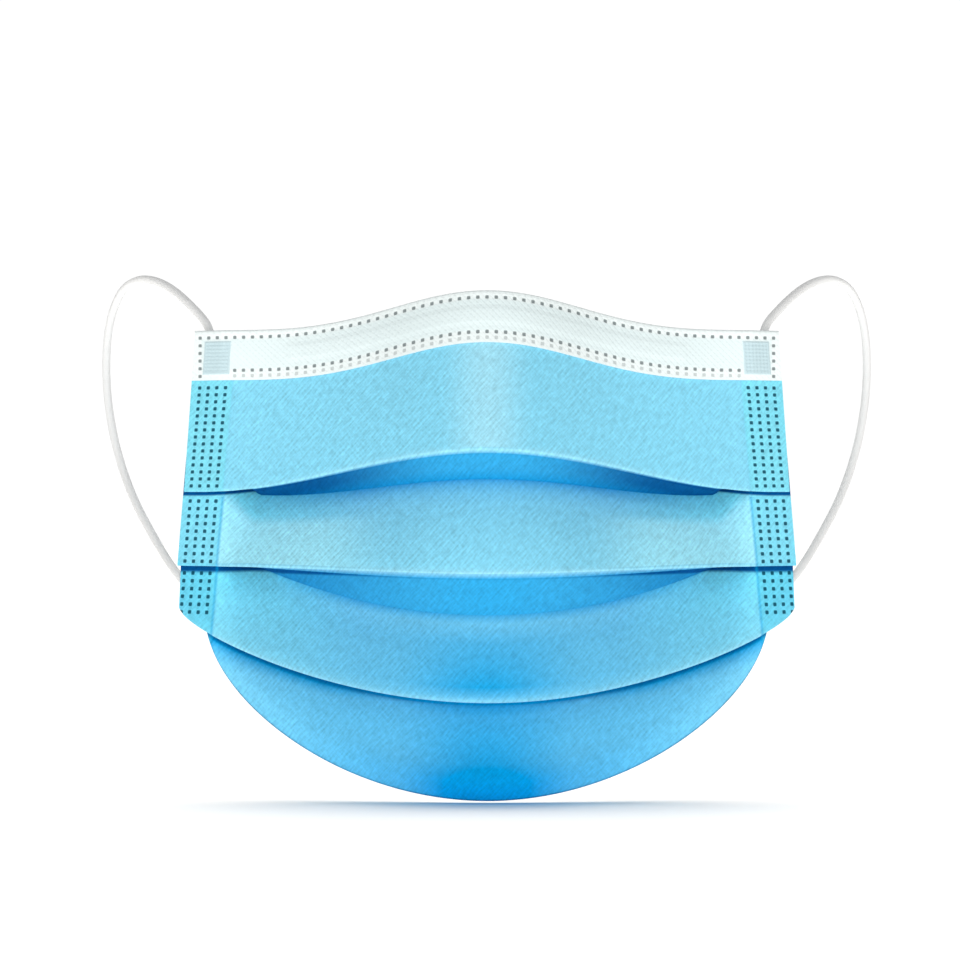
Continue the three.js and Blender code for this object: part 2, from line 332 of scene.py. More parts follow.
def on_line(i, u):
    """A place on a line: its real part is how far ahead it lies, its imaginary part how high."""
    front, top = FRONT_VIEW[i], TOP_VIEW[i]
    side = -front["side"] * SIDE_HEIGHT
    middle = NOSE_RISE - front["middle"] * MIDDLE_HEIGHT
    up = side + (middle - side) * bell(u, front["spread"], front["power"])
    free = freedom(u)
    curve = WELD_ARCH * tent(u) + (top["arch"] - WELD_ARCH) * free + top["ridge"] * bell(u, RIDGE_SPREAD, 2)
    return REACH_AHEAD * curve + top["stack"] * FOLD_RADIUS * (1 - free) + 1j * up


middle_line = [on_line(i, np.array(0.0)) for i in range(5)]
print("heights in the middle in mm:", [round(float(p.imag), 1) for p in middle_line])

# %% [markdown]
# ## A pleated section
# A cut through the mask from nose to chin is a belt that runs round small circles: round the front of each
# outer fold, then back and round each inner fold. In the weld the pleats lie closed, so the inner fold
# stands straight above the outer one. Towards the middle it swings back, and the pleat opens.


# %% Stops and runs of the section
def fold_centres(i, pleat, u):
    """The two circles of one pleat. The inner one is turned about the outer one by the opening angle."""
    from_side = (1 - abs(u)) * WIDTH / 2
    open_share = smooth((from_side - WELD_WIDTH) / OPENING_RUN)
    swing = pleat["at_weld"] + (pleat["in_middle"] - pleat["at_weld"]) * bell(u, 1, 1)
    angle = np.radians(swing * open_share)
    raised = (FOLD_RADIUS + SHEET / 2) * np.minimum(1, 1 + np.cos(angle))
    outer = on_line(i, u) + 1j * raised
    closed = -2 * FOLD_RADIUS + 1j * pleat["depth"] * PLEAT_DEPTH
    return outer, outer + closed * np.exp(1j * angle)


def stops_at(u):
    """The section's stops from nose to chin: place, half width, fold radius and the belly after it."""
    first = on_line(0, u)
    heading = on_line(1, u) - first
    first = first + ROUND_EDGE * heading / abs(heading)
    belly = lambda i: TOP_VIEW[i]["belly"] * REACH_AHEAD * freedom(u)
    stops = [dict(at=first, half=FRONT_VIEW[0]["half"], radius=0, belly=belly(1))]
    for k, pleat in enumerate(PLEATS):
        outer, inner = fold_centres(k + 1, pleat, u)
        stops.append(dict(at=outer, half=FRONT_VIEW[k + 1]["half"], radius=FOLD_RADIUS, belly=0))
        stops.append(dict(at=inner, half=pleat["half"], radius=-FOLD_RADIUS, belly=belly(k + 2)))
    stops.append(dict(at=on_line(4, u), half=FRONT_VIEW[4]["half"], radius=0, belly=0))
    return stops


def facing_of(heading):
    """The way the outer face looks: a quarter turn to the left of the heading."""
    return 1j * np.exp(1j * heading)


def run_between(start, end):
    """The straight run that touches both stops' circles."""
    across = end["at"] - start["at"]
    lean = np.arcsin((start["radius"] - end["radius"]) / abs(across))
    heading = np.angle(across) - lean
    facing = facing_of(heading)
    begin = start["at"] + start["radius"] * facing
    finish = end["at"] + end["radius"] * facing
    return dict(heading=heading, facing=facing, begin=begin, finish=finish, start=start, end=end)


def along_run(run, s, u):
    """Places at shares s of a run. The belly is a parabola over it, and the facing leans with its slope."""
    length = abs(run["finish"] - run["begin"])
    belly = run["start"]["belly"]
    place = run["begin"] + (run["finish"] - run["begin"]) * s + 4 * belly * s * (1 - s) * run["facing"]
    facing = facing_of(run["heading"] + np.arctan(4 * belly * (1 - 2 * s) / length))
    half = run["start"]["half"] + (run["end"]["half"] - run["start"]["half"]) * s
    return half * u * WIDTH / 2, place, facing


def round_fold(stop, before, after, steps, u):
    """Places round a fold's circle, from the heading before it to the heading after it."""
    turn = np.mod(after - before, 2 * np.pi)
    if stop["radius"] > 0:
        turn = turn - 2 * np.pi
    facing = facing_of(before + turn * np.linspace(0, 1, steps + 1)[:, None])
    x = np.broadcast_to(stop["half"] * u * WIDTH / 2, facing.shape)
    return x, stop["at"] + stop["radius"] * facing, facing


# %% [markdown]
# ## Slack in the cloth
# Cloth that is held only at its sides never hangs quite even. A few long, low waves are added to all
# layers alike, towards the front and back, so that no layer can meet the next.

# %% Slack
SLACK_WAVES = [
    dict(size=0.32, across=11.0, down=23.0, start=0.6), dict(size=0.26, across=7.3, down=-15.0, start=2.1),
    dict(size=0.2, across=17.0, down=9.0, start=4.0), dict(size=0.1, across=4.1, down=8.0, start=1.3),
    dict(size=0.08, across=5.2, down=-5.7, start=5.2),
]
SLACK_SHARE = 0.6
SLACK_START, SLACK_RUN = 2, 25


def rise(value, start, run):
    """0 up to the start, then a soft step up to 1 over the run."""
    return smooth((value - start) / run)


def slack(x, z):
    """Long sine waves across and down the mask, added up, and fading out towards the welds."""
    waves = sum(w["size"] * np.sin(x / w["across"] + z / w["down"] + w["start"]) for w in SLACK_WAVES)
    return SLACK_SHARE * waves * rise(WIDTH / 2 - abs(x) - WELD_WIDTH, SLACK_START, SLACK_RUN)


def in_space(x, place):
    """Points in mm from a section's places: ahead is towards -Y, and the nose seat is the origin."""
    z = place.imag + SHIFT_Z
    return np.stack([x, SHIFT_Y - place.real + slack(x, z), z], axis=-1)


# %% [markdown]
# ## The weld's dots
# The sides are closed by a wheel with blunt pins, which melts the layers together in rows of small square
# dots, in four columns down each side. A second map of the mesh counts them, so that one unit of it is one
# dot. Both the dents in the mesh and the dark colour of the melted spots are worked out from that count.

# %% Weld dots
WELD_LINE = dict(top=75.42, bottom=80.6)
DOT_COLUMNS = 4
DOT_COLUMN_PITCH = 2.35
WELD_EDGE = 3.77
DOT_ROWS = [
    dict(tier="upper", first=15.05, last=40.76, rows=15),
    dict(tier="middle", first=44.74, last=60.53, rows=9),
    dict(tier="lower", first=63.68, last=73.95, rows=6),
]
ALL_ROWS = sum(tier["rows"] for tier in DOT_ROWS)
DOT_ROW_PITCH = 1.9
DOT_REACH, DOT_EDGE = 0.44, 0.36
DOT_DENT, DOT_DENT_BEHIND = 0.16, 0.6
WELD_PRESS, WELD_RAMP = 0.05, 0.8


def weld_counts(x, z):
    """Column and row count of the dots. Rows are whole numbers at dots, and stand still between tiers."""
    below = SHIFT_Z - z
    top, bottom = DOT_ROWS[0]["first"], DOT_ROWS[-1]["last"]
    share = (below - top) / (bottom - top)
    line = WELD_LINE["top"] + (WELD_LINE["bottom"] - WELD_LINE["top"]) * share
    depths, counts, done = [], [], 0
    for tier in DOT_ROWS:
        pitch = (tier["last"] - tier["first"]) / (tier["rows"] - 1)
        depths += [tier["first"] - pitch / 2, tier["last"] + pitch / 2]
        counts += [done - 0.5, done + tier["rows"] - 0.5]
        done += tier["rows"]
    return (line - abs(x)) / DOT_COLUMN_PITCH, np.interp(below, depths, counts)


def square_dot(across, down, reach, edge):
    """1 inside a small square with round corners and 0 outside it."""
    away = (across**4 + down**4) ** 0.25
    return smooth((reach - away) / edge + 0.5)


def weld_dents(column, row):
    """How deep the sheet is pressed: a little in the whole weld, and more in each dot."""
    pressed = smooth((WELD_EDGE - column) * DOT_COLUMN_PITCH / WELD_RAMP + 0.5)
    inside = (column > -0.5) & (column < DOT_COLUMNS - 0.5) & (row > -0.5) & (row < ALL_ROWS - 0.5)
    across = (column - np.round(column)) * DOT_COLUMN_PITCH
    down = (row - np.round(row)) * DOT_ROW_PITCH
    return WELD_PRESS * pressed, DOT_DENT * inside * square_dot(across, down, DOT_REACH, DOT_EDGE)


# %% [markdown]
# ## The pleated panel
# The panel is the section worked out at many places across the mask. The columns stand close together over
# the welds, where the dots are, and wide apart between them. The rows are close where a tier shows and wide
# where it hides behind the tier above it.

# %% The panel's grid
WELD_RUN, WELD_COLUMNS, MIDDLE_COLUMNS = 11.4, 38, 112
FOLD_STEPS, FLAP_STEPS = 6, 8
TIER_SHARES = [
    np.r_[np.linspace(0, 0.28, 13, endpoint=False), np.linspace(0.28, 1, 97)],
    np.linspace(0, 1, 93),
    np.linspace(0, 1, 73),
    np.linspace(0, 1, 41),
]

weld_share = WELD_RUN / (WIDTH / 2)
fine = np.linspace(1 - weld_share, 1, WELD_COLUMNS + 1)
wide = np.linspace(weld_share - 1, 1 - weld_share, MIDDLE_COLUMNS + 1)
panel_u = np.r_[-fine[::-1], wide[1:-1], fine]

stops = stops_at(panel_u)
runs = [run_between(a, b) for a, b in zip(stops, stops[1:])]
blocks, flap_rows, tier_rows = [], [], []
for i, run in enumerate(runs):
    is_flap = i % 2 == 1
    shares = np.linspace(0, 1, FLAP_STEPS + 1) if is_flap else TIER_SHARES[i // 2]
    if i > 0:
        shares = shares[1:]
    if i + 1 < len(runs):
        shares = shares[:-1]
    blocks.append(along_run(run, shares[:, None], panel_u))
    flap_rows.append(np.full(len(shares), float(is_flap)))
    tier_rows.append(i + shares)
    if i + 1 < len(runs):
        blocks.append(round_fold(stops[i + 1], run["heading"], runs[i + 1]["heading"], FOLD_STEPS, panel_u))
        outer_fold = i % 2 == 0
        ramp = np.linspace(0, 1, FOLD_STEPS + 1)
        flap_rows.append(smooth(2 * ramp - 1) if outer_fold else np.ones(FOLD_STEPS + 1))
        tier_rows.append(np.full(FOLD_STEPS + 1, i + 1.0))

panel_x, panel_place, panel_facing = (np.concatenate(part) for part in zip(*blocks))
flap = np.concatenate(flap_rows)[:, None]
tier_row = np.concatenate(tier_rows)[:, None]
print("panel grid:", panel_x.shape)

# %% [markdown]
# The sheet's two faces lie half its thickness off the section, and the weld presses them together. The
# length of the cloth is measured along its middle columns, which gives the size that it was cut to.

# %% The panel's faces
middle_points = in_space(panel_x, panel_place)
steps_down = np.linalg.norm(np.diff(middle_points, axis=0), axis=2)
down = np.concatenate([np.zeros((1, len(panel_u))), np.cumsum(steps_down, axis=0)])
PANEL_LENGTH = float(down.max())
PANEL_FLAT = (175, PANEL_LENGTH)
print("the panel's length along the cloth in mm:", round(float(down[:, 0].max()), 1), "at the side,",
      round(float(down[:, len(panel_u) // 2].max()), 1), "in the middle")

column, row = weld_counts(panel_x, middle_points[..., 2])
pressed, dots = weld_dents(column, row)
outer = in_space(panel_x, panel_place + (SHEET / 2 - pressed - dots) * panel_facing)
inner = in_space(panel_x, panel_place - (SHEET / 2 - pressed - DOT_DENT_BEHIND * dots) * panel_facing)

# %% [markdown]
# How much shade, shadow and highlight is painted on the cloth depends on how near it lies to a fold. Four
# distances say that: below the fold that hangs over it, the same counted in slits' depths, above its own
# tier's fold, and along the cloth from the last crease inside a pleat. Far from any fold they are simply
# large.

# %% Distances from the folds
# Each slit under a fold gets a painted shadow: depth is how far below the fold it reaches, shade how dark the
# flap inside is painted.
SLIT_SHADOWS = [
    dict(fold=1, depth=1.0, shade=0.9), dict(fold=2, depth=1.6, shade=0.3),
    dict(fold=3, depth=1.8, shade=0.6),
]
FAR = 40.0

below_edge, in_slits, to_edge = np.full((3, *panel_x.shape), FAR)
for slit_shadow in SLIT_SHADOWS:
    fold_row = 2 * slit_shadow["fold"] - 1
    above_fold = panel_place.imag - on_line(slit_shadow["fold"], panel_u).imag
    below_edge = np.where(tier_row > fold_row, -above_fold, below_edge)
    in_slits = np.where(tier_row > fold_row, -above_fold / slit_shadow["depth"], in_slits)
    to_edge = np.where((tier_row >= fold_row - 1) & (tier_row <= fold_row), above_fold, to_edge)
last_flap = np.maximum.accumulate(np.where(flap > 0.99, down, 0), axis=0)
from_crease = np.where(last_flap > 0, down - last_flap, FAR * FAR)
print("places in a slit:", int((abs(in_slits) < 1).sum()))

# %% [markdown]
# The cloth has one dye, and shade and light are painted into its blue. In a pleat, after a pleat's inner
# crease, in the middle of the lower tiers and under the chin's fold, a deeper, fuller blue is painted shade,
# lighter again towards the chin edge. In a narrow slit under a fold the painted shadow is nearly dark, and a
# dark line runs along the chin edge. Over the ridge of the nose and along each fold's edge a paler blue is a
# painted highlight, and the sides of the second tier and the corners where the pleats open get painted
# light. Marks say how much of each a place has, and the finish blends its blues by them. A table gives the
# painted shade row by row: row 0 is the nose edge, 7 is the chin edge, and the folds lie at the whole rows
# between them. Each line of it is one run of the section: a flap inside a pleat, or the tier after it.

# %% The panel's marks
PAINTED_SHADE_COLUMNS = ("row", "core", "middle", "side")
PAINTED_SHADE_BY_ROW = [
    (1.0, 0, 0, 0), (1.1, 0, 0.68, 1), (2.0, 0, 0.95, 1),
    (2.06, 0, 0.3, 0.3), (2.3, 0, 0.1, 0), (3.0, 0, 0, 0),
    (3.1, 0.06, 0.82, 0.9), (4.0, 0.06, 0.82, 0.9),
    (4.05, 0, 0.3, 0.25), (4.35, 0.15, 0.56, 0.2), (4.85, 0.34, 0.62, 0.15), (4.95, 0.15, 0.52, 0.05),
    (5.0, 0, 0.4, 0), (5.1, 0, 1, 1), (6.0, 0.1, 1, 0.6),
    (6.2, 0.2, 0.6, 0.5), (6.6, 0.36, 0.6, 0.38), (6.8, 0.5, 0.7, 0.22),
]
# Strengths and fade lengths of the painted shade, shadow, highlights and light.
STRENGTH = dict(crease=0.85, chin_fold=1.5, ridge=0.8, rim=0.6, painted_side_light=0.8, chin_slit=0.75)
FADE = dict(crease=3.4, chin_fold=4.4, rim=0.5, flap=7.0, light=11)


def fading(distance, title):
    """1 at a fold or crease. Away from it, e to the power of minus the distance over the fade."""
    return np.exp(-distance.clip(0) / FADE[title])


def on_tier(row):
    """True on the tier that starts at a row."""
    return (tier_row > row) & (tier_row < row + 1)


tones = dict(zip(PAINTED_SHADE_COLUMNS, np.array(PAINTED_SHADE_BY_ROW).T))
core, in_middle, at_side = (
    np.interp(tier_row, tones["row"], tones[title]) for title in ("core", "middle", "side"))
aside = abs(panel_u)
opened = rise(1 - aside, start=0.18, run=0.25)
beside = rise(aside, start=0.08, run=0.5)

# Painted shade: the share of the painted shade's blue, from the table, after a pleat's inner crease and under
# the chin's fold.
deep = at_side + (in_middle - at_side) * bell(panel_u, spread=0.85, power=1.3)
deep = deep + core * bell(panel_u, spread=0.3, power=1.5)
deep = np.maximum(deep, STRENGTH["crease"] * fading(from_crease, "crease") * opened * (tier_row > 1))
under_chin_fold = fading(below_edge, "chin_fold") * (tier_row >= 6) * (0.35 + 0.65 * beside)
deep = np.maximum(deep, STRENGTH["chin_fold"] * under_chin_fold)
# This lightens the painted shade's blue towards the chin edge.
low = rise(tier_row, start=6.6, run=0.3)

# Painted shadow: the flaps are painted dark towards the sides and towards their crease, and a dark line is
# painted along the chin edge, darker in the middle.
flap_shade = np.interp(np.ceil(tier_row / 2), [s["fold"] for s in SLIT_SHADOWS], [s["shade"] for s in SLIT_SHADOWS])
towards_crease = np.clip(1.35 - below_edge / FADE["flap"], 0.35, 1)
chin_rim = rise(tier_row, start=6.972, run=0.014)
slit_shadow_and_rim = np.where(tier_row > 1, flap * flap_shade * beside * towards_crease, 0)
slit_shadow_and_rim = np.maximum(slit_shadow_and_rim, (0.65 + 0.35 * bell(panel_u, spread=0.4, power=1)) * chin_rim)
# How strong the painted shadow under each fold's edge is: more towards the sides, less under the chin's fold.
slit_shadow_strength = (0.3 + 0.7 * beside) * np.where(tier_row >= 6, STRENGTH["chin_slit"], 1)

# Painted highlight: a paler blue over the nose ridge and along each fold's lower edge.
ridge = bell(panel_u, spread=0.17, power=2) * (tier_row < 1)
painted_highlight = np.maximum(STRENGTH["ridge"] * ridge, STRENGTH["rim"] * fading(to_edge, "rim"))
# Painted light: a paler blue on the second tier towards its sides.
painted_side_light = rise(aside, start=0.28, run=0.3) * rise(tier_row, start=2.3, run=0.2) * (tier_row < 3)
# Painted light: a brighter blue on the second and third tiers towards their sides, fading below the fold
# above them.
painted_corner_light = fading(below_edge, "light") * bell(aside - 0.76, spread=0.34, power=1)
painted_corner_light = painted_corner_light * (on_tier(2) | on_tier(4))

panel_marks = dict(deep=deep, low=low, slit_shadow_and_rim=slit_shadow_and_rim, in_slits=in_slits, slit_shadow_strength=slit_shadow_strength, painted_highlight=painted_highlight,
                   painted_side_light=STRENGTH["painted_side_light"] * painted_side_light, painted_corner_light=painted_corner_light)
print("marks reach", {title: round(float(values.max()), 2) for title, values in panel_marks.items()})

# %% [markdown]
# The panel is one mesh with three maps. The first covers the whole piece of cloth without overlaps, the
# second is the count of the weld's dots, and the third gives the grain its place in mm, straight up and
# across on every tier.

# %% The panel
weave_x = panel_u * PANEL_FLAT[0] / 2
cloth_map = np.stack(np.broadcast_arrays(panel_u / 2 + 0.5, 1 - down / PANEL_LENGTH), axis=-1)
count_map = np.stack([column, row], axis=-1)
weave_map = np.stack(np.broadcast_arrays(weave_x, middle_points[..., 2]), axis=-1)
points, faces, slots = closed_sheet(outer, inner)
panel = make_piece("pleated_panel_cloth", points, faces, slots, {
    "cloth": two_islands(cloth_map), "dots": both_faces(count_map), "weave": both_faces(weave_map)})
for title, values in panel_marks.items():
    add_mark(panel, title, both_faces(np.broadcast_to(values, down.shape)))
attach(panel, "root")
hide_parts("pleated_panel")

# %% [markdown]
# ## The band over the nose edge
# A strip of white cloth is folded over the top edge and held by two lines of weld dots. Between them lies
# the soft wire that is pinched over the nose, which shows as a faint, low ridge.

# %% The band's grid
BAND_FRONT, BAND_BACK = 13.1, 10
HALF_EDGE = WIDTH / 2 * FRONT_VIEW[0]["half"]
ROW_PITCH = 2.353
ROW_DOT_REACH, ROW_DOT_EDGE = 0.45, 0.4
BAND_COLUMNS, COLUMNS_PER_DOT = 392, 6
BACK_STEPS, ROUND_STEPS = 14, 8
BAND_LINES = [dict(line="upper", depth=1.3, strength=1.0), dict(line="lower", depth=10.4, strength=1.0),
              dict(line="faint", depth=11.9, strength=0.45)]
END_COLUMN = 32 * ROW_PITCH
END_ROW_PITCH = 2.13
LOWER_LINES_END = 66.9
WIRE = dict(half=52, top=3.9, bottom=8.1, lift=0.16)
WIRE_RAMP, WIRE_END_RAMP = 0.8, 2
PUFF_LIFT, BAND_DENT = 0.12, 0.13
MAP_START, MAP_RUN = -12, 26
near_dots = np.array([-0.62, -0.3, 0, 0.3, 0.62])
dot_rows = np.concatenate([line["depth"] + near_dots for line in BAND_LINES])
front_depths = np.sort(np.round(np.r_[dot_rows, np.arange(2.5, 9.6, 0.59), 12.8, BAND_FRONT], 3))


def off_sheet(u, down, distance, sign):
    """Places off the sheet's uppermost run, at distances down it, on its front or on its back."""
    first, second = stops_at(u)[:2]
    run = run_between(first, second)
    share = down / abs(run["finish"] - run["begin"])
    x, place, facing = along_run(run, share, u)
    return x, place + sign * distance * facing, sign * facing


def down_to(u, depth):
    """How far down the sheet a place lies that is seen from the front at a depth below the nose edge."""
    facing = off_sheet(u, 0.0, 0.0, 1)[2]
    return (depth + ROUND_EDGE * facing.imag) / facing.real - ROUND_EDGE


def band_dots(x, depth):
    """How deep the band's dots are pressed, from the same counts that their colour uses."""
    near = lambda value, pitch: value - pitch * np.round(value / pitch)
    dents = 0
    for line in BAND_LINES:
        reach = END_COLUMN + 1 if line["line"] == "upper" else LOWER_LINES_END
        spots = square_dot(near(x, ROW_PITCH), depth - line["depth"], ROW_DOT_REACH, ROW_DOT_EDGE)
        dents = np.maximum(dents, line["strength"] * spots * (abs(x) < reach))
    end_rows = near(depth - BAND_LINES[0]["depth"], END_ROW_PITCH)
    ends = square_dot(abs(x) - END_COLUMN, end_rows, ROW_DOT_REACH, ROW_DOT_EDGE)
    return np.maximum(dents, ends * (depth > 0.5))


print("rows down the band's front:", len(front_depths))

# %% [markdown]
# The band's cut runs up the back of the panel, over its edge and down the front. Each row knows its depth
# below the edge, and the third dot line is fainter because the wheel's second row only grazes the cloth.
# The band is cut a twentieth longer than the edge is wide, because the edge is curved.

# %% The band
band_u = np.arange(-BAND_COLUMNS // 2 + 1, BAND_COLUMNS // 2) * ROW_PITCH / COLUMNS_PER_DOT / HALF_EDGE
band_u = np.r_[-1, band_u, 1]
back_down = (BAND_BACK - ROUND_EDGE) * np.linspace(1, 0, BACK_STEPS + 1)[:-1, None]
back_part = off_sheet(band_u, back_down, BAND_REACH, -1)

edge_x, edge_place, edge_facing = off_sheet(band_u, 0.0, 0.0, 1)
round_facing = edge_facing * np.exp(1j * np.pi * (1 - np.linspace(0, 1, ROUND_STEPS + 1)))[:, None]
round_x = np.broadcast_to(edge_x, round_facing.shape)
round_part = (round_x, edge_place + BAND_REACH * round_facing, round_facing)

front_rows = front_depths[:, None]
front_down = down_to(band_u, BAND_FRONT) * front_rows / BAND_FRONT
front_part = off_sheet(band_u, front_down, BAND_REACH, 1)

band_x, band_place, band_facing = (np.concatenate(p) for p in zip(back_part, round_part, front_part))
depth = np.concatenate([
    -np.broadcast_to(back_down + ROUND_EDGE, back_part[0].shape),
    np.zeros(round_facing.shape),
    np.broadcast_to(front_rows, front_part[0].shape),
])
span = abs(depth)
wire = smooth((WIRE["half"] - abs(band_x)) / WIRE_END_RAMP + 0.5)
wire = wire * smooth((span - WIRE["top"]) / WIRE_RAMP + 0.5)
wire = wire * smooth((WIRE["bottom"] - span) / WIRE_RAMP + 0.5)
upper_dots, lower_dots = BAND_LINES[0]["depth"], BAND_LINES[1]["depth"]
puff = np.sin(np.pi * np.clip((span - upper_dots) / (lower_dots - upper_dots), 0, 1))
lift = (WIRE["lift"] * wire + PUFF_LIFT * puff) * (depth > 0)
dents = BAND_DENT * band_dots(band_x, span)

band_outer = in_space(band_x, band_place + (BAND_WALL / 2 + lift - dents) * band_facing)
band_inner = in_space(band_x, band_place + (lift - BAND_WALL / 2) * band_facing)
points, faces, slots = closed_sheet(band_outer, band_inner)
band_map = np.stack(np.broadcast_arrays(band_u / 2 + 0.5, (depth - MAP_START) / MAP_RUN), axis=-1)
place_map = np.stack([band_x, depth], axis=-1)
band = make_piece("nose_band_cloth", points, faces, slots * 0, {
    "cloth": two_islands(band_map), "dots": both_faces(place_map)})
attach(band, "root")
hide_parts("nose_band")

# %% [markdown]
# ## The loop's patches
# Each loop is welded to the inside of the band's end. The hot stamp leaves a grey square on the front,
# pressed into a fine waffle with a melted rim round it. It follows the band's own curve.

# %% Patches
PATCH_WIDTH, PATCH_HEIGHT, PATCH_WALL = 7.2, 8.7, 0.22
PATCH_INSET, PATCH_DROP = 2.9, 2.9
PATCH_COLUMNS, PATCH_ROWS = 57, 75
PATCH_RIM, ROUND_RIM, RIM_SHARE = 0.3, 0.35, 0.35
WAFFLE_PITCH, WAFFLE_DEPTH = 0.94, 0.1
BACK_GAP, FRONT_GAP = 0.01, 0.02


def loop_patch(name, side):
    """A small closed sheet on the band's front, with its waffle as shallow sunk squares."""
    across = np.linspace(0, PATCH_WIDTH, PATCH_COLUMNS)
    down = np.linspace(0, PATCH_HEIGHT, PATCH_ROWS)[:, None]
    u = np.sort(side * (1 - (PATCH_INSET + across) / HALF_EDGE))
    x, place, facing = off_sheet(u, down_to(u, PATCH_DROP + down), BAND_REACH, 1)
    from_rim = np.minimum(np.minimum(across, PATCH_WIDTH - across), np.minimum(down, PATCH_HEIGHT - down))
    cells = np.cos(2 * np.pi * across / WAFFLE_PITCH) + np.cos(2 * np.pi * down / WAFFLE_PITCH)
    waffle = smooth(cells / 2 + 0.5) * rise(from_rim, PATCH_RIM, PATCH_RIM)
    raised = PATCH_WALL * (RIM_SHARE + (1 - RIM_SHARE) * smooth(from_rim / ROUND_RIM)) - WAFFLE_DEPTH * waffle
    front = in_space(x, place + (BAND_WALL / 2 + FRONT_GAP + raised) * facing)
    back = in_space(x, place + (BAND_WALL / 2 + BACK_GAP) * facing)
    points, faces, slots = closed_sheet(front, back)
    patch_map = np.stack(np.broadcast_arrays(across / PATCH_WIDTH, 1 - down / PATCH_HEIGHT), axis=-1)
    patch = make_piece(name + "_stamp", points, faces, slots * 0, {"cloth": two_islands(patch_map)})
    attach(patch, "root")
    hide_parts(name)
    return patch


patches = [loop_patch("loop_patch_left", -1), loop_patch("loop_patch_right", 1)]

# %% [markdown]
# ## Shader maths as expressions
# Node trees are hard to read once they hold more than a few Math nodes. A small class stands for a node's
# output and lets it be added and multiplied like a number, so that a pattern can be written as a formula.


# %% Links between nodes
class Link:
    """A shader node's output that can be used in sums and products."""

    def __init__(self, socket):
        self.socket = socket

    @staticmethod
    def node(tree, kind, settings=None, inputs=None, output=0):
        """Adds a node, sets its settings, then its sockets' values or links, and gives one output."""
        node = tree.nodes.new("ShaderNode" + kind)
        for name, value in (settings or {}).items():
            setattr(node, name, value)
        for name, value in (inputs or {}).items():
            if isinstance(value, Link):
                tree.links.new(value.socket, node.inputs[name])
            else:
                node.inputs[name].default_value = value
        return Link(node.outputs[output])

    def math(self, operation, *others):
        """A Math node on this output and the others."""
        inputs = dict(enumerate((self, *others)))
        return Link.node(self.socket.id_data, "Math", {"operation": operation}, inputs)

    def __add__(self, other):
        return self.math("ADD", other)

    def __sub__(self, other):
        return self.math("SUBTRACT", other)

    def __mul__(self, other):
        return self.math("MULTIPLY", other)

    def __rsub__(self, other):
        return (self * -1) + other

    __radd__ = __add__
    __rmul__ = __mul__

    def step(self, low, high):
        """A soft step from 0 at low to 1 at high, also where low is the larger one."""
        return Link.node(self.socket.id_data, "MapRange", {"interpolation_type": "SMOOTHSTEP"},
                         {"Value": self, "From Min": low, "From Max": high})

    def near(self, pitch):
        """How far the value lies from the nearest whole pitch."""
        return ((self * (1 / pitch) + 0.5).math("FRACT") - 0.5) * pitch


def mapped(tree, title, scale=(1, 1)):
    """A mesh map's two numbers, each times its scale, and the vector that they make."""
    vector = Link.node(tree, "UVMap", {"uv_map": title})
    vector = Link.node(tree, "VectorMath", {"operation": "MULTIPLY"}, {0: vector, 1: (*scale, 0)})
    split = Link.node(tree, "SeparateXYZ", None, {0: vector}).socket.node
    return Link(split.outputs[0]), Link(split.outputs[1]), vector


def mixed(tree, share, first, second):
    """Goes from the first colour to the second as share goes from 0 to 1."""
    node = {"data_type": "RGBA"}
    return Link.node(tree, "Mix", node, {"Factor": share, 6: first, 7: second}, output=2)


def shaded(tree, colour, shade):
    """A colour made darker or lighter all over."""
    return Link.node(tree, "VectorMath", {"operation": "SCALE"}, {0: colour, "Scale": shade})


def noise(tree, place, scale, detail=2.0):
    """Blender's noise at a number of waves a mm, from 0 to 1."""
    inputs = {"Vector": place, "Scale": scale, "Detail": detail, "Roughness": 0.5}
    return Link.node(tree, "TexNoise", {"noise_dimensions": "2D"}, inputs)


def dot_mask(across, down, reach, edge):
    """The same small square with round corners as in the mesh, as nodes: the fourth root of the sum of
    both distances' fourth powers is how far a place lies from the dot's middle."""
    fourth = lambda value: value * value * (value * value)
    away = (fourth(across) + fourth(down)).math("POWER", 0.25)
    return away.step(reach + edge / 2, reach - edge / 2)


def srgb(red, green, blue):
    """A colour as it is read off a screen, from 0 to 255, turned into light."""
    share = np.array([red, green, blue]) / 255
    light = np.where(share <= 0.04045, share / 12.92, ((share + 0.055) / 1.055) ** 2.4)
    return (*light.tolist(), 1)


def new_finish(name, **fixed):
    """A material with one Principled shader, with the values that are the same all over set on it."""
    material = bpy.data.materials.new(name)
    material.use_nodes = True
    shader = material.node_tree.nodes["Principled BSDF"]
    for title, value in fixed.items():
        shader.inputs[title.replace("_", " ")].default_value = value
    return material, material.node_tree, shader


def connect(tree, shader, colour, height, relief):
    """Feeds the shader its colour and, through a Bump node, its surface relief in mm."""
    tree.links.new(colour.socket, shader.inputs["Base Color"])
    bump = Link.node(tree, "Bump", None, {"Height": height, "Distance": relief * MM})
    tree.links.new(bump.socket, shader.inputs["Normal"])


# %% [markdown]
# ## Nonwoven cloth
# Spunbond is laid from endless fibres and held by rows of tiny heat bonds on a slant, so that it shows a
# diagonal grain. The bonds are made by two crossing waves, the rising one stronger. Two noises, each drawn
# out along one slant, give the bundles of fibres, and a slow noise gives the thick and thin places.

# %% Grain
BOND_PITCH = 1.15
BUNDLE_LENGTH, BUNDLE_WIDTH = 2.6, 0.62
CLOUDS = 0.11
MELT_REACH, MELT_EDGE = DOT_REACH + 0.02, 0.24


def bundles(tree, along, across):
    """Noise that is longer along the fibres than across them."""
    place = Link.node(tree, "CombineXYZ", None, {
        "X": along * (1 / BUNDLE_LENGTH), "Y": across * (1 / BUNDLE_WIDTH)})
    return noise(tree, place, 1.0)


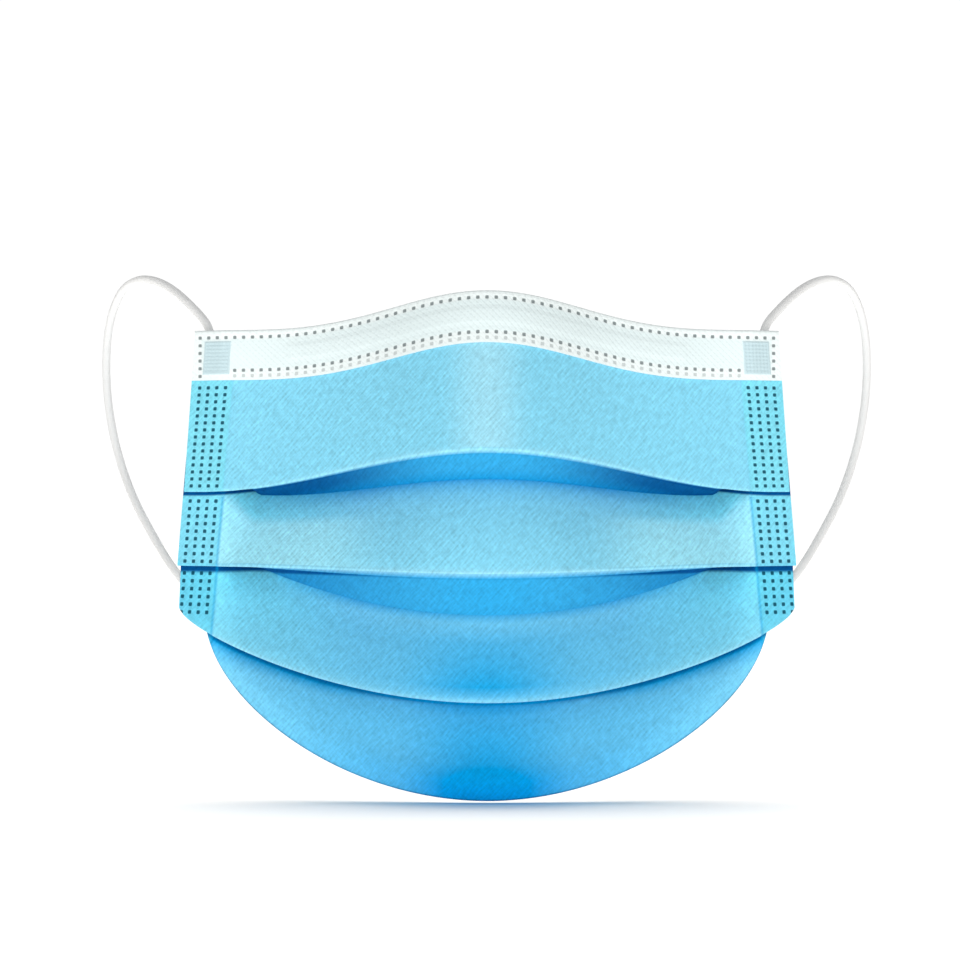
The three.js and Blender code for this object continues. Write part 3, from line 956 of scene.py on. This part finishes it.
def grain(tree, x, y, place):
    """Bond points from two crossing waves, fibres from two stretched noises, and cloudy thickness."""
    rising, falling = (x + y) * np.sqrt(0.5), (x - y) * np.sqrt(0.5)
    wave = 2 * np.pi / BOND_PITCH
    bonds = (0.7 * (falling * wave).math("COSINE") + 0.3 * (rising * wave).math("COSINE")).step(0.0, 0.9)
    fibres = 0.65 * bundles(tree, rising, falling) + 0.35 * bundles(tree, falling, rising)
    cloud = noise(tree, place, CLOUDS, 3.0)
    return bonds, fibres, cloud


def weld_finish(tree):
    """The weld's dots as colour: their column and row counts, and 1 on each melted spot."""
    columns, rows, _ = mapped(tree, "dots")
    melted = dot_mask(columns.near(1) * DOT_COLUMN_PITCH, rows.near(1) * DOT_ROW_PITCH, MELT_REACH, MELT_EDGE)
    melted = melted * columns.math("GREATER_THAN", -0.5) * columns.math("LESS_THAN", DOT_COLUMNS - 0.5)
    melted = melted * rows.math("GREATER_THAN", -0.45) * rows.math("LESS_THAN", ALL_ROWS - 0.55)
    return columns, rows, melted


# %% [markdown]
# ## The blue outer face
# The outer ply is dyed a light, slightly green blue. Inside the pleats and under the folds painted shade
# deepens it and painted shadow darkens it, and painted highlights and light make it paler. In the weld the
# plies are pressed together, which makes them glassy and a little brighter, and the melted dots are a dark
# blue green.

# %% Blue finish
# The dye's blue, then the painted shade's blues (the deep one also colours the seam), the painted shadow's,
# the painted highlight's, the painted lights', the weld's and the melted dots'.
TIER_BLUE = srgb(134, 213, 240)
SHADE_AND_SEAM_BLUE = srgb(2, 154, 214)
LOW_SHADE_BLUE = srgb(3, 172, 240)
SHADOW_AND_RIM_BLUE = srgb(0, 78, 140)
HIGHLIGHT_BLUE = srgb(164, 222, 240)
CORNER_LIGHT_BLUE = srgb(118, 238, 255)
SIDE_LIGHT_BLUE = srgb(168, 238, 255)
WELD_BLUE = srgb(122, 222, 238)
LOWER_WELD_BLUE = srgb(84, 200, 230)
MELTED_BLUE = srgb(0, 60, 80)
SLIT_SOFT = (0.6, 1.3)
WELD_SOFT, SEAM = 0.12, 0.3

blue, tree, shader = new_finish("spunbond_blue", Roughness=0.8, Specular_IOR_Level=0.03)
x, y, place = mapped(tree, "weave")
bonds, fibres, cloud = grain(tree, x, y, place)
columns, rows, melted = weld_finish(tree)
welded = columns.step(WELD_EDGE + WELD_SOFT, WELD_EDGE - WELD_SOFT)
lower_rows = rows.math("GREATER_THAN", DOT_ROWS[0]["rows"] - 0.5)
seam = columns.step(WELD_EDGE - SEAM, WELD_EDGE) * columns.step(WELD_EDGE + SEAM, WELD_EDGE)
mark = lambda title: Link.node(tree, "Attribute", {"attribute_name": title}, output="Fac")

# The painted shadow under each fold's edge.
slit_shadow = mark("in_slits").step(SLIT_SOFT[1], SLIT_SOFT[0])
painted_shade_blue = mixed(tree, mark("low"), SHADE_AND_SEAM_BLUE, LOW_SHADE_BLUE)
weld_blue = mixed(tree, lower_rows, WELD_BLUE, LOWER_WELD_BLUE)
colour = TIER_BLUE
# Over the dye go painted shade, painted highlight, painted light, the weld, painted shadow and the seam, in
# that order.
for share, tint in (
    (mark("deep").math("MAXIMUM", slit_shadow), painted_shade_blue),
    (mark("painted_highlight"), HIGHLIGHT_BLUE),
    (0.8 * mark("painted_corner_light"), CORNER_LIGHT_BLUE),
    (mark("painted_side_light"), SIDE_LIGHT_BLUE),
    (0.55 * welded, weld_blue),
    (mark("slit_shadow_and_rim").math("MAXIMUM", slit_shadow * mark("slit_shadow_strength")), SHADOW_AND_RIM_BLUE),
    ((0.06 + 0.44 * lower_rows) * seam, SHADE_AND_SEAM_BLUE),
):
    colour = mixed(tree, share, colour, tint)
colour = shaded(tree, colour, 0.6 + 0.7 * fibres + 0.06 * cloud - 0.05 * bonds)
colour = mixed(tree, 0.92 * melted, colour, MELTED_BLUE)
connect(tree, shader, colour, fibres - 0.6 * bonds * (1 - 0.8 * welded), 0.06)

# %% [markdown]
# ## White cloth
# The lining and the band are white. The lining has the same grain as the outer ply. The band's own map is
# in mm, so its dot lines are written with the same numbers that pressed the dents into its mesh.

# %% White finishes
LINING_WHITE = srgb(240, 247, 249)
BAND_WHITE = srgb(228, 242, 243)
BAND_RIM_WHITE = srgb(238, 247, 247)
BAND_DOT_GREY = srgb(96, 108, 110)
LINING_MELTED = srgb(150, 190, 205)
SPOT_EDGE = 0.26

lining, tree, shader = new_finish("lining_white", Roughness=0.75, Specular_IOR_Level=0.3, Sheen_Weight=0.12)
x, y, place = mapped(tree, "weave")
bonds, fibres, cloud = grain(tree, x, y, place)
melted = weld_finish(tree)[2]
colour = mixed(tree, 0.45 * melted, LINING_WHITE, LINING_MELTED)
colour = shaded(tree, colour, 0.93 + 0.09 * fibres + 0.04 * cloud - 0.05 * bonds)
connect(tree, shader, colour, 0.7 * fibres - bonds, 0.06)

white, tree, shader = new_finish("band_white", Roughness=0.7, Specular_IOR_Level=0.3, Sheen_Weight=0.1)
x, y, place = mapped(tree, "dots")
bonds, fibres, cloud = grain(tree, x, y, place)
from_middle, from_edge = x.math("ABSOLUTE"), y.math("ABSOLUTE")
spots = 0
for line in BAND_LINES:
    reach = END_COLUMN + 1 if line["line"] == "upper" else LOWER_LINES_END
    squares = dot_mask(x.near(ROW_PITCH), from_edge - line["depth"], ROW_DOT_REACH, SPOT_EDGE)
    spots = spots + line["strength"] * squares * from_middle.math("LESS_THAN", reach)
end_rows = (from_edge - upper_dots).near(END_ROW_PITCH)
ends = dot_mask(from_middle - END_COLUMN, end_rows, ROW_DOT_REACH, SPOT_EDGE)
spots = spots.math("MAXIMUM", ends * from_edge.math("GREATER_THAN", 0.5))
between = from_edge.step(1.3, 2.4) * from_edge.step(10.6, 9.6) * from_middle.step(END_COLUMN, END_COLUMN - 1)
colour = mixed(tree, between, BAND_RIM_WHITE, BAND_WHITE)
colour = shaded(tree, colour, 0.955 + 0.05 * fibres + 0.03 * cloud - 0.03 * bonds)
colour = mixed(tree, 0.85 * spots, colour, BAND_DOT_GREY)
connect(tree, shader, colour, 0.7 * fibres - bonds, 0.04)

# %% [markdown]
# ## Patches and elastic
# The stamped patch is glassy where the cloth has melted, so it is greyer and smoother than the band. The
# elastic is a knit of fine yarn: its ribs are in the mesh already, and the single stitches are relief.

# %% Patch and elastic finishes
PATCH_GREY, PATCH_PALE = srgb(188, 213, 220), srgb(205, 224, 228)
ELASTIC_WHITE = srgb(234, 235, 235)

grey, tree, shader = new_finish("patch_grey", Roughness=0.45, Specular_IOR_Level=0.4)
x, y, place = mapped(tree, "cloth", (PATCH_WIDTH / ISLAND_WIDTH, PATCH_HEIGHT))
half_width, half_height = PATCH_WIDTH / 2, PATCH_HEIGHT / 2
rim = (x - half_width).math("ABSOLUTE").step(half_width, half_width - 0.4)
rim = rim * (y - half_height).math("ABSOLUTE").step(half_height, half_height - 0.4)
speckle = noise(tree, place, 2.2, 3.0)
colour = mixed(tree, 0.5 * speckle + 0.5 * rim, PATCH_PALE, PATCH_GREY)
connect(tree, shader, colour, speckle, 0.03)

elastic, tree, shader = new_finish("elastic_white", Roughness=0.85, Specular_IOR_Level=0.25, Sheen_Weight=0.3)
turn, run, place = mapped(tree, "cloth", (CORD_RIBS, loop_length / STITCH_PITCH * 2))
lean = turn.near(1).math("ABSOLUTE")
stitches = ((run + 1.3 * lean) * (2 * np.pi)).math("SINE")
yarn = noise(tree, place, 1.7)
colour = shaded(tree, ELASTIC_WHITE[:3], 0.97 + 0.03 * yarn + 0.015 * stitches)
connect(tree, shader, colour, stitches + 0.5 * yarn, 0.005)

for piece, finishes in [(panel, (blue, lining)), (band, (white,)), *[(p, (grey,)) for p in patches],
                        *[(p, (elastic,)) for p in ear_loops]]:
    for material in finishes:
        piece.data.materials.append(material)
print("finishes:", [m.name for m in bpy.data.materials])

# %% [markdown]
# ## Floor and light
# The mask stands on its chin on a plain white floor in front of a white ground. The mask and the floor have
# lamps of their own. A wide lamp in front and a smaller one above it light the cloth evenly, as in a light
# tent, so that the folds show mostly by the shade and light painted into their blues, and a lamp behind
# lights the lining. Over the floor hang two wide lamps, which leave a soft shadow that is darkest where the
# chin meets the floor.

# %% Floor and light
FLOOR_GAP, FLOOR_REACH = 0.15, 4000
FLOOR_COLOUR = (0.97, 0.945, 0.915, 1)
lowest = min(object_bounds()[0][2], cad_box[0][2])
floor_mesh = bpy.data.meshes.new("floor")
corners = [(-1, -1), (1, -1), (1, 1), (-1, 1)]
floor_points = [(x * FLOOR_REACH * MM, y * FLOOR_REACH * MM, lowest - FLOOR_GAP * MM) for x, y in corners]
floor_mesh.from_pydata(floor_points, [], [(0, 1, 2, 3)])
floor = bpy.data.objects.new("floor", floor_mesh)
bpy.context.scene.collection.objects.link(floor)
floor_white, tree, shader = new_finish("floor_white", Roughness=1.0, Specular_IOR_Level=0.0)
shader.inputs["Base Color"].default_value = FLOOR_COLOUR
floor_mesh.materials.append(floor_white)


def soft_sun(name, elevation, azimuth, angle, share, floor_state):
    """A far, soft lamp. Share is how bright it makes a white surface that faces it, 1 being white. It
    lights the floor alone, or everything but the floor. The floor never hides the lower half of a lamp
    whose disc reaches below the horizon."""
    data = bpy.data.lights.new(name, "SUN")
    data.energy, data.angle = share * np.pi, np.radians(angle)
    lamp = bpy.data.objects.new(name, data)
    lamp.rotation_euler = (np.radians(90 - elevation), 0, np.radians(azimuth))
    bpy.context.scene.collection.objects.link(lamp)
    reached = bpy.data.collections.new("reached by " + name)
    reached.objects.link(floor)
    reached.collection_objects[0].light_linking.link_state = floor_state
    lamp.light_linking.receiver_collection = reached
    if elevation < angle / 2:
        lamp.light_linking.blocker_collection = reached


AMBIENT, GROUND = 0.22, 1.05
soft_sun("key", elevation=40, azimuth=0, angle=16, share=0.1, floor_state="EXCLUDE")
soft_sun("face", elevation=-4, azimuth=0, angle=70, share=0.465, floor_state="EXCLUDE")
soft_sun("back", elevation=35, azimuth=180, angle=70, share=0.4, floor_state="EXCLUDE")
soft_sun("over", elevation=76, azimuth=180, angle=50, share=0.14, floor_state="INCLUDE")
soft_sun("dome", elevation=86, azimuth=180, angle=88, share=0.94, floor_state="INCLUDE")

world = bpy.data.worlds.new("studio")
bpy.context.scene.world = world
world.use_nodes = True
tree = world.node_tree
ground = tree.nodes["Background"]
seen = Link.node(tree, "LightPath", output="Is Camera Ray")
tree.links.new((AMBIENT + (GROUND - AMBIENT) * seen).socket, ground.inputs["Strength"])
ground.inputs["Color"].default_value = (1, 1, 1, 1)
bpy.context.scene.view_settings.view_transform = "Standard"
